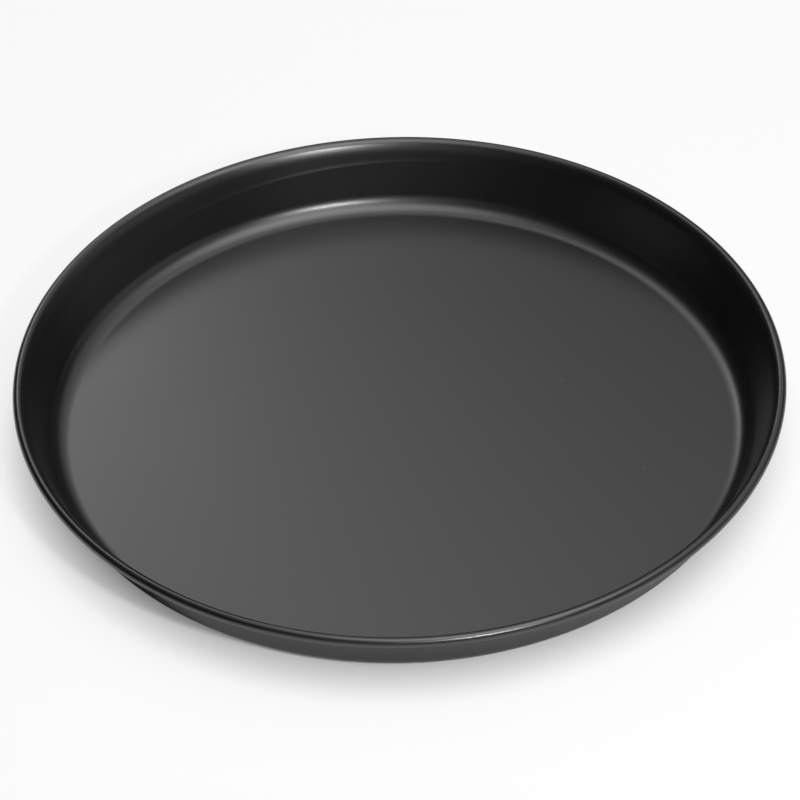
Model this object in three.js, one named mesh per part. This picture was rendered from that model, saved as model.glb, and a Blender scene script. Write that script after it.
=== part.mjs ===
// Round baking tray: a pan pressed from one steel sheet, with its rim rolled outwards round a wire.
// Millimetres, +Z up. The origin is the centre of the floor's underside, on which the tray stands.
import * as THREE from 'three';

// Overall sizes
const RIM_DIAMETER = 280;
const HEIGHT = 25;
const WALL_REACH = 19.3; // level distance from the edge of the flat floor out to the rim
const FLOOR_DIAMETER = RIM_DIAMETER - 2 * WALL_REACH; // flat part of the floor, up to the corner's bend
const SHEET = 0.6;

// Bends of the sheet, measured on its upper face; a lean is that of the bend's radius from the vertical
const CORNER_RADIUS = 8; // from the floor up into the wall
const SWEEP_RADIUS = 15; // from the wall gently outwards
const SWEEP_LEAN = THREE.MathUtils.degToRad(54); // where the sweep meets the flare
const FLARE_RADIUS = 4; // from the sweep outwards into the rim
const FLARE_LEAN = THREE.MathUtils.degToRad(30); // where the flare meets the curl

// Rim wire, and the curl of sheet round it
const WIRE_DIAMETER = 1.9;
const WIRE_CLEARANCE = 0.25;
const WIRE_JOINT_GAP = 1.5; // between the two ends of the bent wire
const CURL_GAP = 0.5; // between the sheet's rolled edge and the outside of the wall

// Facets
const ROUND_STEPS = 80; // once round the tray
const BEND_FACET = THREE.MathUtils.degToRad(12); // largest turn of one facet from the corner to the flare
const CURL_FACET = THREE.MathUtils.degToRad(22.5); // largest turn of one facet in the curl
const WIRE_HALF_STEPS = 5; // half way round the wire's section

// The section lies in a plane through the axis: x is the distance from the axis, y the height.
// The corner bends round one centre. The sweep, the flare and the curl each touch the next where they end.
const UP = Math.PI / 2;
const CURL_RADIUS = WIRE_DIAMETER / 2 + WIRE_CLEARANCE + SHEET;
const cornerCentre = new THREE.Vector2(FLOOR_DIAMETER / 2, SHEET + CORNER_RADIUS);
const curlCentre = new THREE.Vector2(RIM_DIAMETER / 2 - CURL_RADIUS, HEIGHT - CURL_RADIUS);
const flareEnd = UP + FLARE_LEAN;
const flareCentre = pointAt(curlCentre, CURL_RADIUS - FLARE_RADIUS, flareEnd);
const sweepEnd = UP + SWEEP_LEAN;
const sweepCentre = pointAt(flareCentre, FLARE_RADIUS - SWEEP_RADIUS, sweepEnd);

// The wall is the straight line that touches the corner on one side and the sweep on the other.
const cornerToSweep = sweepCentre.clone().sub(cornerCentre);
const wallSlope = cornerToSweep.angle()
  + Math.asin((CORNER_RADIUS + SWEEP_RADIUS) / cornerToSweep.length());
const sweepStart = UP + wallSlope;

// The curl runs over the wire and back towards the outside of the sweep, and stops the gap short of it:
// the sweep's centre, the curl's centre and the rolled edge are the corners of a triangle with known sides.
const sweepToCurl = curlCentre.clone().sub(sweepCentre);
const sweepToEdge = SWEEP_RADIUS - SHEET - CURL_GAP;
const edgeCosine = (sweepToEdge ** 2 - sweepToCurl.lengthSq() - CURL_RADIUS ** 2)
  / (2 * CURL_RADIUS * sweepToCurl.length());
const curlEnd = sweepToCurl.angle() + Math.acos(edgeCosine) - 2 * Math.PI;

function pointAt(centre, radius, angle) {
  return new THREE.Vector2(Math.cos(angle), Math.sin(angle)).multiplyScalar(radius).add(centre);
}

// Points on an arc that passes exactly through each of the given angles in turn.
function bend(centre, radius, angles, facet) {
  const points = [pointAt(centre, radius, angles[0])];
  for (let leg = 1; leg < angles.length; leg += 1) {
    const [start, end] = [angles[leg - 1], angles[leg]];
    const steps = Math.ceil(Math.abs(end - start) / facet);
    for (let step = 1; step <= steps; step += 1) {
      points.push(pointAt(centre, radius, THREE.MathUtils.lerp(start, end, step / steps)));
    }
  }
  return points;
}

// One face of the sheet from the axis to the rolled edge, at a depth below the upper face.
// The curl passes through the rim's highest and widest points.
function sheetFace(depth) {
  const corner = bend(cornerCentre, CORNER_RADIUS + depth, [-UP, wallSlope - UP], BEND_FACET);
  const sweep = bend(sweepCentre, SWEEP_RADIUS - depth, [sweepStart, sweepEnd], BEND_FACET);
  const [, ...flare] = bend(flareCentre, FLARE_RADIUS - depth, [sweepEnd, flareEnd], BEND_FACET);
  const [, ...curl] = bend(curlCentre, CURL_RADIUS - depth, [flareEnd, UP, 0, curlEnd], CURL_FACET);
  return [new THREE.Vector2(0, SHEET - depth), ...corner, ...sweep, ...flare, ...curl];
}

function trayPan() {
  const profile = [...sheetFace(SHEET), ...sheetFace(0).reverse()];
  const geometry = new THREE.LatheGeometry(profile, ROUND_STEPS).rotateX(UP);
  const coating = new THREE.MeshStandardMaterial({ color: 0x2c2c2d, roughness: 0.38, metalness: 0.3 });
  const mesh = new THREE.Mesh(geometry, coating);
  mesh.name = 'tray_pan';
  return mesh;
}

// Centre line of the wire: a level ring, open by the joint's gap at the back of the tray.
class WireRing extends THREE.Curve {
  constructor(radius, gap) {
    super();
    this.radius = radius;
    this.gapAngle = gap / radius;
  }

  getPoint(t, target = new THREE.Vector3()) {
    const angle = UP + this.gapAngle / 2 + t * (2 * Math.PI - this.gapAngle);
    return target.set(this.radius * Math.cos(angle), this.radius * Math.sin(angle), 0);
  }
}

function rimWire() {
  const section = new THREE.Shape().absarc(0, 0, WIRE_DIAMETER / 2, 0, 2 * Math.PI);
  const geometry = new THREE.ExtrudeGeometry(section, {
    curveSegments: WIRE_HALF_STEPS,
    steps: ROUND_STEPS,
    extrudePath: new WireRing(curlCentre.x, WIRE_JOINT_GAP),
  });
  const steel = new THREE.MeshStandardMaterial({ color: 0xa6a8aa, roughness: 0.35, metalness: 1 });
  const mesh = new THREE.Mesh(geometry, steel);
  mesh.name = 'rim_wire';
  mesh.position.z = curlCentre.y;
  return mesh;
}

const tray = new THREE.Group();
tray.add(trayPan(), rimWire());

export default tray;
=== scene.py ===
# Looks of a round baking tray: one pressed sheet with a dark satin coating, its rim rolled round a wire.
# Metres, +Z up. The tray stands on the plane Z = 0, with its axis on the Z axis.
import math
from math import radians

import bmesh
import bpy
from mathutils import Matrix, Vector


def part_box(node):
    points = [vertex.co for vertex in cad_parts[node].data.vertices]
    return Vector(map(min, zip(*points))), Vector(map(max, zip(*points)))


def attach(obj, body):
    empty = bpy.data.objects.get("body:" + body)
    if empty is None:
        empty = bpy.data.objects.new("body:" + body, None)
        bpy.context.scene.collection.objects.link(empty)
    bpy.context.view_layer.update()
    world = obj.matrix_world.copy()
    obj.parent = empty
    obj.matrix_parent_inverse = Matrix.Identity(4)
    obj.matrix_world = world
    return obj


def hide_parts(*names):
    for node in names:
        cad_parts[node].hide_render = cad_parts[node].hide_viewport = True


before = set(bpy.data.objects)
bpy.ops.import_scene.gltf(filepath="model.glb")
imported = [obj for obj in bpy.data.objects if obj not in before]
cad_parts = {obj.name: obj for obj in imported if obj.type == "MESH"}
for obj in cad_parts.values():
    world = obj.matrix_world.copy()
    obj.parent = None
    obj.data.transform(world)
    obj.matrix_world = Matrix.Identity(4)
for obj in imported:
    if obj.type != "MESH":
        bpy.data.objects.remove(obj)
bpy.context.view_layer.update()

# Sizes that the solids give
pan_low, pan_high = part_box("tray_pan")
wire_low, wire_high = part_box("rim_wire")
RIM_RADIUS = pan_high.x
HEIGHT = pan_high.z
WIRE_RADIUS = (wire_high.z - wire_low.z) / 2

# Sheet and its bends, measured on its upper face; a lean is that of the bend's radius from the vertical
SHEET = 0.0006
WALL_REACH = 0.0193  # level distance from the edge of the flat floor out to the rim
FLOOR_RADIUS = RIM_RADIUS - WALL_REACH
CORNER_RADIUS = 0.008  # from the floor up into the wall
WALL_RADIUS = 0.30  # the wall is nearly straight, and bows inwards a little
SWEEP_RADIUS = 0.015  # from the wall gently outwards
SWEEP_LEAN = radians(54)  # where the sweep meets the flare
FLARE_RADIUS = 0.004  # from the sweep outwards into the rim
FLARE_LEAN = radians(30)  # where the flare meets the curl
WIRE_CLEARANCE = 0.00025
WIRE_JOINT_GAP = 0.0015  # between the two ends of the bent wire
CURL_GAP = 0.0005  # between the rolled edge and the outside of the wall

# Faint mark of the press on the inside of the wall: a slanting crest with two flanks, at the back left
PRESS_LINE_HEIGHT = 0.0152
PRESS_LINE_SLANT = 0.0041  # how far it climbs above and falls below that height
PRESS_LINE_HIGHEST = radians(35)  # azimuth of its highest place
PRESS_LINE_RISE = 0.0001
PRESS_LINE_UPPER_FLANK = 0.0014
PRESS_LINE_LOWER_FLANK = 0.006
PRESS_LINE_STRONGEST = radians(125)  # azimuth about which it shows
PRESS_LINE_WAVES = 6  # it fades in and out this often round the tray
PRESS_LINE_WAVE = 0.4
PRESS_LINE_CREST = radians(103)  # azimuth of one of its strong places

# Facets
ROUND_STEPS = 288  # once round the tray
BEND_FACET = radians(2.5)
CURL_FACET = radians(7.5)
EDGE_FACET = radians(30)
WIRE_FACET = radians(15)
WALL_RING = 0.0003  # height of one ring of faces on the wall
FLOOR_RING = 0.012  # width of one ring of faces on the flat floor
SUPPORT = 0.0003  # a ring this close to the corner keeps the flat beside it flat
WIRE_SHARP_ANGLE = radians(40)  # the rims of the wire's cut ends turn by more than this

# Coating: a clear dark layer. Its greys and roughnesses are those of the darker and the lighter clouds,
# and a range is the part of a noise over which the change happens.
COAT_IOR = 1.70
COAT_GREYS = (0.0015, 0.002)
COAT_ROUGHNESSES = (0.305, 0.325)
CLOUD_SIZE = 0.045
CLOUD_DETAIL = 5.0
CLOUD_GREY_RANGE = (0.3, 0.7)
CLOUD_ROUGHNESS_RANGE = (0.25, 0.75)
PEEL_SIZE = 0.0022
PEEL_DETAIL = 1.0
PEEL_SHARE = 0.7  # of the relief
GRAIN_SIZE = 0.0009
GRAIN_DETAIL = 2.0
GRAIN_SHARE = 0.3  # of the relief
GRAIN_RANGE = (0.2, 0.8)
GRAIN_ROUGHNESS = 0.012  # added and taken away
RELIEF_DEPTH = 0.000006

# Specks on the floor: a small dot in about one cell of eight
SPECK_CELL = 0.03
SPECK_CORE = 0.012  # radius of the full dot, as a share of the cell
SPECK_RADIUS = 0.03  # radius at which it has faded out, likewise
SPECK_PICK = 0.88  # the cells whose own number is above this have one
SPECK_TOP = 2 * SHEET  # none lie higher than this
SPECK_GREY = 0.02

# Rubbed places on top of the rim
RUBBED_FROM = 0.0016  # depth below the top where they set in
RUBBED_FULL = 0.0002  # depth from which they show in full
RUBBED_SIZE = 0.006
RUBBED_DETAIL = 3.0
RUBBED_RANGE = (0.35, 0.75)
RUBBED_GREY = 0.006
RUBBED_SMOOTHER = 0.03  # taken off the roughness

# Wire: drawn bright steel with fine streaks along it and a little tarnish
STEEL_GREYS = (0.42, 0.56)
STEEL_ROUGHNESSES = (0.28, 0.42)
STREAK_SIZE = 0.00012
STREAK_DETAIL = 3.0
STREAK_GREY_RANGE = (0.3, 0.7)
STREAK_ROUGHNESS_RANGE = (0.2, 0.8)
STREAK_DEPTH = 0.000004
TARNISH_GREY = 0.33
TARNISH_SIZE = 0.008
TARNISH_DETAIL = 3.0
TARNISH_RANGE = (0.5, 0.8)

# Studio floor
STUDIO_HALF_WIDTH = 3.0
STUDIO_DROP = 0.0002  # below the tray's underside, so that the two faces don't coincide
PAPER_GREYS = (0.75, 0.77)
PAPER_SIZE = 0.3  # of its faint unevenness
PAPER_DETAIL = 2.0
PAPER_ROUGHNESS = 0.9
PAPER_SPECULAR = 0.1

# Share of plain white in the floor as it is seen; the rest is lit, and holds the tray's shadow.
# The white sets in between two distances from the axis. In the tray's mirror image of the floor they lie
# farther out, so that the outside of the wall mirrors the true shadow beside it.
BACKGROUND_SHARE = 0.8
SEEN_WHITE_RANGE = (0.118, 0.146)
MIRRORED_WHITE_RANGE = (0.132, 0.150)

# Faint light from all round, by the height of its direction
SKY_RANGE = (0.05, 0.9)
SKY_STRENGTHS = (0.03, 0.05)

WHITE = (1.0, 1.0, 1.0, 1.0)
COOL = 1.01  # blue in a grey, over its red and green
HALF = 0.5  # middle of a lamp, whose face runs from 0 to 1 both ways

# Camera: the picture is 800 x 800, and the origin lies at ORIGIN_PIXEL in it
PICTURE = 800
ORIGIN_PIXEL = (400.40, 427.05)
LENS = 247.17  # millimetres
CAMERA_DEPTH = 2.0047  # of the origin
CAMERA_ELEVATION = radians(41.11)
CAMERA_ROLL = radians(-1.305)

# Section of the sheet, in a plane through the axis: x is the distance from the axis, y the height
UP = math.pi / 2
CURL_RADIUS = WIRE_RADIUS + WIRE_CLEARANCE + SHEET


def point_at(centre, radius, angle):
    return centre + radius * Vector((math.cos(angle), math.sin(angle)))


corner_centre = Vector((FLOOR_RADIUS, SHEET + CORNER_RADIUS))
curl_centre = Vector((RIM_RADIUS - CURL_RADIUS, HEIGHT - CURL_RADIUS))
flare_end = UP + FLARE_LEAN
flare_centre = point_at(curl_centre, CURL_RADIUS - FLARE_RADIUS, flare_end)
sweep_end = UP + SWEEP_LEAN
sweep_centre = point_at(flare_centre, FLARE_RADIUS - SWEEP_RADIUS, sweep_end)

# The wall's shallow arc touches the corner's circle from outside and the sweep's from inside: the three
# centres are the corners of a triangle with known sides.
corner_to_sweep = sweep_centre - corner_centre
corner_to_wall = WALL_RADIUS + CORNER_RADIUS
wall_to_sweep = WALL_RADIUS - SWEEP_RADIUS
wall_cosine = ((corner_to_wall ** 2 + corner_to_sweep.length_squared - wall_to_sweep ** 2)
               / (2 * corner_to_wall * corner_to_sweep.length))
corner_end = math.atan2(corner_to_sweep.y, corner_to_sweep.x) - math.acos(wall_cosine)
wall_centre = point_at(corner_centre, corner_to_wall, corner_end)
wall_start = corner_end + math.pi
sweep_start = math.atan2(sweep_centre.y - wall_centre.y, sweep_centre.x - wall_centre.x)

# Distances from the axis between which the inside of the wall lies
wall_foot = point_at(corner_centre, CORNER_RADIUS, corner_end).x
wall_head = point_at(sweep_centre, SWEEP_RADIUS, sweep_start).x

# The curl runs over the wire and back towards the outside of the sweep, and stops the gap short of it.
# The half round at its end takes up the last of that turn.
sweep_to_curl = curl_centre - sweep_centre
sweep_to_edge = SWEEP_RADIUS - SHEET - CURL_GAP
edge_cosine = ((sweep_to_edge ** 2 - sweep_to_curl.length_squared - CURL_RADIUS ** 2)
               / (2 * CURL_RADIUS * sweep_to_curl.length))
curl_end = math.atan2(sweep_to_curl.y, sweep_to_curl.x) + math.acos(edge_cosine) - 2 * math.pi
edge_start = curl_end + (SHEET / 2) / (CURL_RADIUS - SHEET / 2)


def bend(centre, radius, start, end, facet):
    steps = math.ceil(abs(end - start) / facet)
    return [point_at(centre, radius, start + (end - start) * step / steps) for step in range(steps + 1)]


def flat_floor(height):
    """Rings of the flat floor, from the axis to just short of the corner."""
    rings = math.floor(FLOOR_RADIUS / FLOOR_RING)
    radii = [ring * FLOOR_RING for ring in range(rings)] + [FLOOR_RADIUS - SUPPORT]
    return [Vector((radius, height)) for radius in radii]


def press_line(turn, height):
    """How far the press mark lifts the inside of the wall towards the axis."""
    crest = PRESS_LINE_HEIGHT + PRESS_LINE_SLANT * math.cos(turn - PRESS_LINE_HIGHEST)
    flank = PRESS_LINE_UPPER_FLANK if height > crest else PRESS_LINE_LOWER_FLANK
    share = max(0.0, 1 - abs(height - crest) / flank)
    wave = PRESS_LINE_WAVE * math.cos(PRESS_LINE_WAVES * (turn - PRESS_LINE_CREST))
    strength = max(0.0, math.cos(turn - PRESS_LINE_STRONGEST)) * (1 - PRESS_LINE_WAVE + wave)
    return PRESS_LINE_RISE * strength * share ** 2


def sheet_face(depth):
    """One face of the sheet from the axis to the rolled edge, at a depth below the upper face."""
    corner = bend(corner_centre, CORNER_RADIUS + depth, -UP, corner_end, BEND_FACET)
    wall = bend(wall_centre, WALL_RADIUS - depth, wall_start, sweep_start, WALL_RING / WALL_RADIUS)[1:]
    sweep = bend(sweep_centre, SWEEP_RADIUS - depth, sweep_start, sweep_end, BEND_FACET)[1:]
    flare = bend(flare_centre, FLARE_RADIUS - depth, sweep_end, flare_end, BEND_FACET)[1:]
    curl = []
    for start, end in ((flare_end, UP), (UP, 0), (0, edge_start)):
        curl += bend(curl_centre, CURL_RADIUS - depth, start, end, CURL_FACET)[1:]
    return flat_floor(SHEET - depth) + corner + wall + sweep + flare + curl


def rolled_edge():
    """Half round at the end of the sheet, from its upper face to its lower one."""
    middle = point_at(curl_centre, CURL_RADIUS - SHEET / 2, edge_start)
    return bend(middle, SHEET / 2, edge_start, edge_start - math.pi, EDGE_FACET)[1:-1]


def new_object(name, made):
    bmesh.ops.recalc_face_normals(made, faces=made.faces)
    mesh = bpy.data.meshes.new(name)
    made.to_mesh(mesh)
    made.free()
    mesh.shade_smooth()
    piece = bpy.data.objects.new(name, mesh)
    bpy.context.scene.collection.objects.link(piece)
    return piece


def join_rings(made, inner, outer):
    """Faces between two rings of vertices; a ring of one vertex is a point on the axis."""
    for step in range(ROUND_STEPS):
        after = (step + 1) % ROUND_STEPS
        corners = [inner[step % len(inner)], outer[step], outer[after], inner[after % len(inner)]]
        made.faces.new(list(dict.fromkeys(corners)))


def pan_shell():
    """The sheet: its section turned round the axis, with the press mark on the inside of the wall."""
    made = bmesh.new()
    inside = sheet_face(0)
    profile = inside + rolled_edge() + sheet_face(SHEET)[::-1]
    rings = []
    for index, (distance, height) in enumerate(profile):
        marked = index < len(inside) and wall_foot < distance < wall_head
        steps = ROUND_STEPS if distance > 0 else 1
        ring = []
        for step in range(steps):
            turn = 2 * math.pi * step / steps
            reach = distance - (press_line(turn, height) if marked else 0.0)
            ring.append(made.verts.new((reach * math.cos(turn), reach * math.sin(turn), height)))
        rings.append(ring)
    for inner, outer in zip(rings, rings[1:]):
        if len(outer) == 1:
            inner, outer = outer, inner
        join_rings(made, inner, outer)
    return new_object("pan_shell", made)


def wire_ring():
    """Bent wire with its two cut ends a small gap apart at the back of the tray."""
    made = bmesh.new()
    half_gap = WIRE_JOINT_GAP / 2 / curl_centre.x
    section = bend(curl_centre, WIRE_RADIUS, 0, 2 * math.pi, WIRE_FACET)[:-1]
    rings = []
    for step in range(ROUND_STEPS + 1):
        turn = UP + half_gap + (2 * math.pi - 2 * half_gap) * step / ROUND_STEPS
        rings.append([made.verts.new((p.x * math.cos(turn), p.x * math.sin(turn), p.y)) for p in section])
    for near, far in zip(rings, rings[1:]):
        for i in range(len(section)):
            made.faces.new((near[i - 1], near[i], far[i], far[i - 1]))
    made.faces.new(rings[0])
    made.faces.new(rings[-1][::-1])
    piece = new_object("wire_ring", made)
    piece.data.set_sharp_from_angle(angle=WIRE_SHARP_ANGLE)
    return piece


class Nodes:
    """Short way to add nodes to a material, a lamp or the world."""

    def __init__(self, owner):
        owner.use_nodes = True
        self.tree = owner.node_tree

    def add(self, kind, inputs=None, **settings):
        node = self.tree.nodes.new(kind)
        for key, value in settings.items():
            setattr(node, key, value)
        for key, value in (inputs or {}).items():
            self.feed(node.inputs[key], value)
        return node

    def feed(self, socket, value):
        """Sets a socket to a value, or links another socket to it."""
        if isinstance(value, bpy.types.NodeSocket):
            self.tree.links.new(value, socket)
        else:
            socket.default_value = value

    def noise(self, place, size, detail):
        """Noise from about 0 to 1, with features of about the given size."""
        node = self.add("ShaderNodeTexNoise", {"Vector": place, "Scale": 1 / size, "Detail": detail})
        return node.outputs["Fac"]

    def span(self, value, low, high, start=0.0, end=1.0, **settings):
        """Value from low..high mapped to start..end and kept inside it."""
        node = self.add("ShaderNodeMapRange", {
            "Value": value, "From Min": low, "From Max": high, "To Min": start, "To Max": end}, **settings)
        return node.outputs["Result"]

    def maths(self, operation, first, second=0.0):
        return self.add("ShaderNodeMath", {0: first, 1: second}, operation=operation).outputs[0]

    def mix(self, share, first, second):
        node = self.add("ShaderNodeMix", {"Factor": share}, data_type="RGBA")
        colours = [socket for socket in node.inputs if socket.type == "RGBA"]
        for socket, colour in zip(colours, (first, second)):
            self.feed(socket, colour)
        return next(socket for socket in node.outputs if socket.type == "RGBA")

    def shader(self, inputs):
        """The material's main shader, with its inputs set or linked."""
        shader = self.tree.nodes["Principled BSDF"]
        for key, value in inputs.items():
            self.feed(shader.inputs[key], value)
        return shader


def grey(level):
    return (level, level, level * COOL, 1.0)


def dark_coating():
    """Satin dark coating: fine orange peel, faint clouding, a few specks and a rim rubbed smooth."""
    material = bpy.data.materials.new("dark_coating")
    nodes = Nodes(material)
    place = nodes.add("ShaderNodeTexCoord").outputs["Object"]
    height = nodes.add("ShaderNodeSeparateXYZ", {"Vector": place}).outputs["Z"]
    cloud = nodes.noise(place, CLOUD_SIZE, CLOUD_DETAIL)
    grain = nodes.noise(place, GRAIN_SIZE, GRAIN_DETAIL)
    peel = nodes.noise(place, PEEL_SIZE, PEEL_DETAIL)

    cell = nodes.add("ShaderNodeTexVoronoi", {"Vector": place, "Scale": 1 / SPECK_CELL},
                     voronoi_dimensions="2D")
    in_speck = nodes.span(cell.outputs["Distance"], SPECK_CORE, SPECK_RADIUS, 1.0, 0.0)
    pick = nodes.add("ShaderNodeSeparateColor", {"Color": cell.outputs["Color"]}).outputs[0]
    chosen = nodes.maths("GREATER_THAN", pick, SPECK_PICK)
    on_floor = nodes.maths("LESS_THAN", height, SPECK_TOP)
    speck = nodes.maths("MULTIPLY", in_speck, nodes.maths("MULTIPLY", chosen, on_floor))

    crest = nodes.span(height, HEIGHT - RUBBED_FROM, HEIGHT - RUBBED_FULL)
    patches = nodes.span(nodes.noise(place, RUBBED_SIZE, RUBBED_DETAIL), *RUBBED_RANGE)
    rubbed = nodes.maths("MULTIPLY", crest, patches)

    clouded = nodes.mix(nodes.span(cloud, *CLOUD_GREY_RANGE), *map(grey, COAT_GREYS))
    specked = nodes.mix(speck, clouded, grey(SPECK_GREY))
    coat = nodes.mix(rubbed, specked, grey(RUBBED_GREY))

    satin = nodes.span(cloud, *CLOUD_ROUGHNESS_RANGE, *COAT_ROUGHNESSES)
    uneven = nodes.span(grain, *GRAIN_RANGE, -GRAIN_ROUGHNESS, GRAIN_ROUGHNESS)
    grained = nodes.maths("ADD", satin, uneven)
    roughness = nodes.maths("SUBTRACT", grained, nodes.maths("MULTIPLY", rubbed, RUBBED_SMOOTHER))

    relief = nodes.maths("ADD", nodes.maths("MULTIPLY", peel, PEEL_SHARE),
                         nodes.maths("MULTIPLY", grain, GRAIN_SHARE))
    lifted = nodes.maths("ADD", relief, speck)
    bump = nodes.add("ShaderNodeBump", {"Height": lifted, "Strength": 1.0, "Distance": RELIEF_DEPTH})
    nodes.shader({"IOR": COAT_IOR, "Base Color": coat, "Roughness": roughness,
                  "Normal": bump.outputs["Normal"]})
    return material


def wire_steel():
    """Drawn bright steel, with fine streaks along the wire."""
    material = bpy.data.materials.new("wire_steel")
    nodes = Nodes(material)
    place = nodes.add("ShaderNodeTexCoord").outputs["Object"]
    parts = nodes.add("ShaderNodeSeparateXYZ", {"Vector": place}).outputs
    level = nodes.add("ShaderNodeCombineXYZ", {"X": parts["X"], "Y": parts["Y"]}).outputs[0]
    distance = nodes.add("ShaderNodeVectorMath", {0: level}, operation="LENGTH").outputs["Value"]
    across = nodes.add("ShaderNodeCombineXYZ", {"X": distance, "Y": parts["Z"]}).outputs[0]
    streak = nodes.noise(across, STREAK_SIZE, STREAK_DETAIL)
    tarnish = nodes.noise(place, TARNISH_SIZE, TARNISH_DETAIL)
    bright = nodes.mix(nodes.span(streak, *STREAK_GREY_RANGE), *map(grey, STEEL_GREYS))
    steel = nodes.mix(nodes.span(tarnish, *TARNISH_RANGE), bright, grey(TARNISH_GREY))
    roughness = nodes.span(streak, *STREAK_ROUGHNESS_RANGE, *STEEL_ROUGHNESSES)
    bump = nodes.add("ShaderNodeBump", {"Height": streak, "Strength": 1.0, "Distance": STREAK_DEPTH})
    nodes.shader({"Metallic": 1.0, "Base Color": steel, "Roughness": roughness,
                  "Normal": bump.outputs["Normal"]})
    return material


def pale_floor():
    """Pale paper, mixed with plain white away from the tray where it is seen or mirrored."""
    material = bpy.data.materials.new("pale_floor")
    nodes = Nodes(material)
    place = nodes.add("ShaderNodeTexCoord").outputs["Object"]
    paper = nodes.mix(nodes.noise(place, PAPER_SIZE, PAPER_DETAIL), *map(grey, PAPER_GREYS))
    lit = nodes.shader({"Base Color": paper, "Roughness": PAPER_ROUGHNESS,
                        "Specular IOR Level": PAPER_SPECULAR})

    ray = nodes.add("ShaderNodeLightPath").outputs
    from_axis = nodes.add("ShaderNodeVectorMath", {0: place}, operation="LENGTH").outputs["Value"]
    seen = nodes.span(from_axis, *SEEN_WHITE_RANGE, 0.0, BACKGROUND_SHARE)
    mirrored = nodes.span(from_axis, *MIRRORED_WHITE_RANGE, 0.0, BACKGROUND_SHARE)
    bounced = nodes.maths("ADD", ray["Is Glossy Ray"], ray["Is Transmission Ray"])
    share = nodes.maths("ADD", nodes.maths("MULTIPLY", ray["Is Camera Ray"], seen),
                        nodes.maths("MULTIPLY", bounced, mirrored))
    white = nodes.add("ShaderNodeEmission", {"Color": WHITE, "Strength": 1.0})
    both = nodes.add("ShaderNodeMixShader", {0: share, 1: lit.outputs[0], 2: white.outputs[0]})
    nodes.feed(nodes.tree.nodes["Material Output"].inputs["Surface"], both.outputs[0])
    return material


def studio_floor():
    made = bmesh.new()
    bmesh.ops.create_grid(made, x_segments=1, y_segments=1, size=STUDIO_HALF_WIDTH)
    floor = new_object("studio_floor", made)
    floor.location.z = pan_low.z - STUDIO_DROP
    floor.data.materials.append(pale_floor())


def softbox(name, azimuth, elevation, distance, width, height, fades, radiance):
    """Rectangular light facing the tray from a direction in degrees, with the given radiance in its middle.

    Across and along, it fades out over a share of the way from its middle to its edges.
    """
    lamp = bpy.data.lights.new(name, "AREA")
    lamp.shape = "RECTANGLE"
    lamp.size = width
    lamp.size_y = height
    lamp.energy = radiance * math.pi * width * height
    nodes = Nodes(lamp)
    across = nodes.add("ShaderNodeNewGeometry").outputs["Parametric"]
    from_corner = nodes.add("ShaderNodeSeparateXYZ", {"Vector": across}).outputs
    glow = 1.0
    for axis, fade in zip(("X", "Y"), fades):
        aside = nodes.maths("ABSOLUTE", nodes.maths("SUBTRACT", from_corner[axis], HALF))
        inside = nodes.span(aside, HALF - HALF * fade, HALF, 1.0, 0.0, interpolation_type="SMOOTHSTEP")
        glow = nodes.maths("MULTIPLY", inside, glow)
    nodes.feed(nodes.tree.nodes["Emission"].inputs["Strength"], glow)
    light = bpy.data.objects.new(name, lamp)
    bpy.context.scene.collection.objects.link(light)
    turn = Matrix.Rotation(radians(azimuth), 3, "Z") @ Matrix.Rotation(-radians(elevation), 3, "Y")
    direction = turn @ Vector((1, 0, 0))
    light.location = direction * distance
    light.rotation_euler = direction.to_track_quat("Z", "Y").to_euler()
    light.visible_camera = False


def studio_light():
    softbox("back_softbox", azimuth=104, elevation=46, distance=0.953, width=0.90, height=0.75,
            fades=(1.0, 0.6), radiance=1.35)
    softbox("left_softbox", azimuth=109, elevation=35, distance=0.935, width=0.26, height=0.22,
            fades=(0.5, 0.5), radiance=3.1)
    softbox("top_softbox", azimuth=326, elevation=76.7, distance=0.90, width=1.19, height=1.384,
            fades=(1.0, 1.0), radiance=4.2)
    softbox("right_softbox", azimuth=46, elevation=56, distance=1.20, width=1.60, height=1.60,
            fades=(0.5, 0.5), radiance=0.66)
    softbox("right_card", azimuth=356, elevation=19, distance=1.20, width=1.64, height=0.75,
            fades=(0.6, 0.8), radiance=0.50)
    softbox("front_card", azimuth=260, elevation=28, distance=1.20, width=1.20, height=0.85,
            fades=(0.6, 0.8), radiance=0.28)
    softbox("key_lamp", azimuth=292.8, elevation=40.5, distance=1.20, width=0.114, height=0.114,
            fades=(0.3, 0.3), radiance=240.0)
    world = bpy.data.worlds.new("studio")
    bpy.context.scene.world = world
    nodes = Nodes(world)
    direction = nodes.add("ShaderNodeTexCoord").outputs["Generated"]
    rise = nodes.add("ShaderNodeSeparateXYZ", {"Vector": direction}).outputs["Z"]
    background = nodes.tree.nodes["Background"]
    nodes.feed(background.inputs["Color"], WHITE)
    nodes.feed(background.inputs["Strength"], nodes.span(rise, *SKY_RANGE, *SKY_STRENGTHS))


def camera():
    data = bpy.data.cameras.new("camera")
    data.lens = LENS
    eye = bpy.data.objects.new("camera", data)
    bpy.context.scene.collection.objects.link(eye)
    turn = Matrix.Rotation(UP - CAMERA_ELEVATION, 3, "X") @ Matrix.Rotation(CAMERA_ROLL, 3, "Z")
    pixel = data.sensor_width / LENS / PICTURE * CAMERA_DEPTH
    across, down = ((at - PICTURE / 2) * pixel for at in ORIGIN_PIXEL)
    eye.location = turn @ Vector((-across, down, CAMERA_DEPTH))
    eye.rotation_euler = turn.to_euler()
    bpy.context.scene.camera = eye


def dress(piece, node, material):
    piece.data.materials.append(material)
    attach(piece, "root")
    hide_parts(node)


camera()
studio_light()
studio_floor()
dress(pan_shell(), "tray_pan", dark_coating())
dress(wire_ring(), "rim_wire", wire_steel())
bpy.context.scene.view_settings.view_transform = "Standard"
